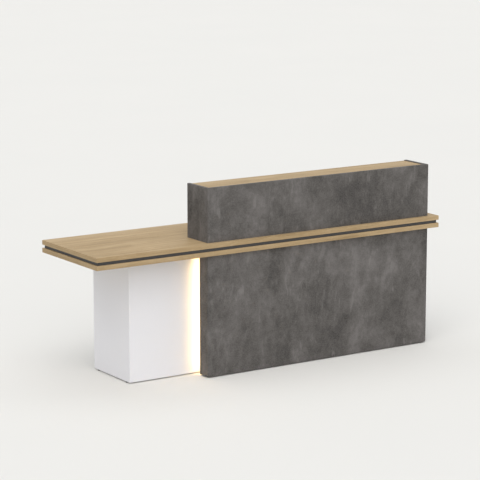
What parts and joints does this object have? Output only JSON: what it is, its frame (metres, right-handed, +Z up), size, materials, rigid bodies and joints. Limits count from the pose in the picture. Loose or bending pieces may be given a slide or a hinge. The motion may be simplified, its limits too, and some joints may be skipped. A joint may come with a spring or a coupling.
{
  "type": "reception desk",
  "caption": "Reception desk with a banded oak worktop, a raised visitor counter, a concrete-look facade lit from behind, and a white base with a drawer and a cupboard on the staff side.",
  "frame": {"origin": "on the floor, under the middle of the worktop", "axes": "+X along the desk, to the right as a visitor sees it; +Y from the visitor towards the staff; +Z up"},
  "size_m": [2.26, 0.6, 1.05],
  "materials": {
    "oak": "natural oak, straight grain along the length, matt lacquer",
    "concrete_decor": "board with a dark concrete-look surface, matt, cloudy",
    "white_melamine": "board with a white melamine surface, satin",
    "anthracite_band": "board edge finished in matt anthracite",
    "raw_board": "uncoated particle board, hidden",
    "zinc_steel": "zinc-plated sheet steel",
    "satin_steel": "satin nickel-plated steel",
    "drawer_steel": "grey powder-coated sheet steel",
    "aluminium_profile": "natural anodised",
    "led_tape": "white flexible tape with light-emitting chips",
    "opal_diffuser": "opal, lit warm white from behind",
    "black_plastic": "moulded, finely textured",
    "switch_plastic": "moulded light grey"
  },
  "bodies": {
    "desk": {"worktop_upper_board": "oak", "worktop_lower_board": "oak", "riser_top": "oak", "riser_front_panel": "concrete_decor", "riser_left_end": "concrete_decor", "riser_right_end": "concrete_decor", "riser_divider": "concrete_decor", "facade_front_panel": "concrete_decor", "facade_left_return": "concrete_decor", "facade_right_return": "concrete_decor", "facade_back_panel": "concrete_decor", "left_end_panel": "white_melamine", "right_end_panel": "white_melamine", "modesty_panel": "white_melamine", "pedestal_partition": "white_melamine", "pedestal_top": "white_melamine", "pedestal_fixed_shelf": "white_melamine", "pedestal_bottom": "white_melamine", "pedestal_plinth": "white_melamine", "facade_batten_left": "white_melamine", "facade_batten_right": "white_melamine", "worktop_spacer_front": "anthracite_band", "worktop_spacer_back": "anthracite_band", "worktop_spacer_left": "anthracite_band", "worktop_spacer_right": "anthracite_band", "worktop_spacer_middle_left": "raw_board", "worktop_spacer_middle_right": "raw_board", "facade_top_rail": "raw_board", "facade_bottom_rail": "raw_board", "riser_bracket_left": "zinc_steel", "riser_bracket_right": "zinc_steel", "right_end_bracket": "zinc_steel", "drawer_runner_left_outer": "zinc_steel", "drawer_runner_right_outer": "zinc_steel", "door_hinge_upper_fixed": "satin_steel", "door_hinge_lower_fixed": "satin_steel", "led_channel": "aluminium_profile", "led_strip": "led_tape", "led_diffuser": "opal_diffuser", "led_driver": "black_plastic", "led_lead": "black_plastic", "cable_grommet_ring": "black_plastic"},
    "door": {"door_panel": "white_melamine", "door_handle": "satin_steel", "door_hinge_upper_leaf": "satin_steel", "door_hinge_lower_leaf": "satin_steel"},
    "drawer": {"drawer_front": "white_melamine", "drawer_tray": "drawer_steel", "drawer_handle": "satin_steel", "drawer_runner_left_inner": "zinc_steel", "drawer_runner_right_inner": "zinc_steel"},
    "rocker": {"led_rocker": "switch_plastic"},
    "outlet_cap": {"cable_grommet_cap": "black_plastic"},
    "foot_left_front": {"foot_left_front": "black_plastic"},
    "foot_left_back": {"foot_left_back": "black_plastic"},
    "foot_partition_back": {"foot_partition_back": "black_plastic"},
    "foot_right_front": {"foot_right_front": "black_plastic"},
    "foot_right_back": {"foot_right_back": "black_plastic"},
    "foot_facade_left": {"foot_facade_left": "black_plastic"},
    "foot_facade_right": {"foot_facade_right": "black_plastic"}
  },
  "joints": [
    {"name": "drawer_slide", "type": "slide", "parent": "desk", "child": "drawer", "axis": [0, 1, 0], "range_m": [0, 0.24]},
    {"name": "door_swing", "type": "hinge", "parent": "desk", "child": "door", "pos_m": [-0.8275, 0.2465, 0.294], "axis": [0, 0, 1], "range_deg": [0, 110]},
    {"name": "rocker_tip", "type": "hinge", "parent": "desk", "child": "rocker", "pos_m": [-0.295, -0.1, 0.63], "axis": [0, 0, 1], "range_deg": [-16, 0]},
    {"name": "outlet_cap_turn", "type": "hinge", "parent": "desk", "child": "outlet_cap", "pos_m": [0.82, 0.185, 0.7508], "axis": [0, 0, 1], "continuous": true},
    {"name": "foot_left_front_turn", "type": "hinge", "parent": "desk", "child": "foot_left_front", "pos_m": [-0.838, -0.1, 0.003], "axis": [0, 0, 1], "continuous": true},
    {"name": "foot_left_back_turn", "type": "hinge", "parent": "desk", "child": "foot_left_back", "pos_m": [-0.838, 0.205, 0.003], "axis": [0, 0, 1], "continuous": true},
    {"name": "foot_partition_back_turn", "type": "hinge", "parent": "desk", "child": "foot_partition_back", "pos_m": [-0.388, 0.205, 0.003], "axis": [0, 0, 1], "continuous": true},
    {"name": "foot_right_front_turn", "type": "hinge", "parent": "desk", "child": "foot_right_front", "pos_m": [1.043, -0.1, 0.003], "axis": [0, 0, 1], "continuous": true},
    {"name": "foot_right_back_turn", "type": "hinge", "parent": "desk", "child": "foot_right_back", "pos_m": [1.043, 0.205, 0.003], "axis": [0, 0, 1], "continuous": true},
    {"name": "foot_facade_left_turn", "type": "hinge", "parent": "desk", "child": "foot_facade_left", "pos_m": [-0.33, -0.231, 0.003], "axis": [0, 0, 1], "continuous": true},
    {"name": "foot_facade_right_turn", "type": "hinge", "parent": "desk", "child": "foot_facade_right", "pos_m": [0.97, -0.231, 0.003], "axis": [0, 0, 1], "continuous": true}
  ]
}
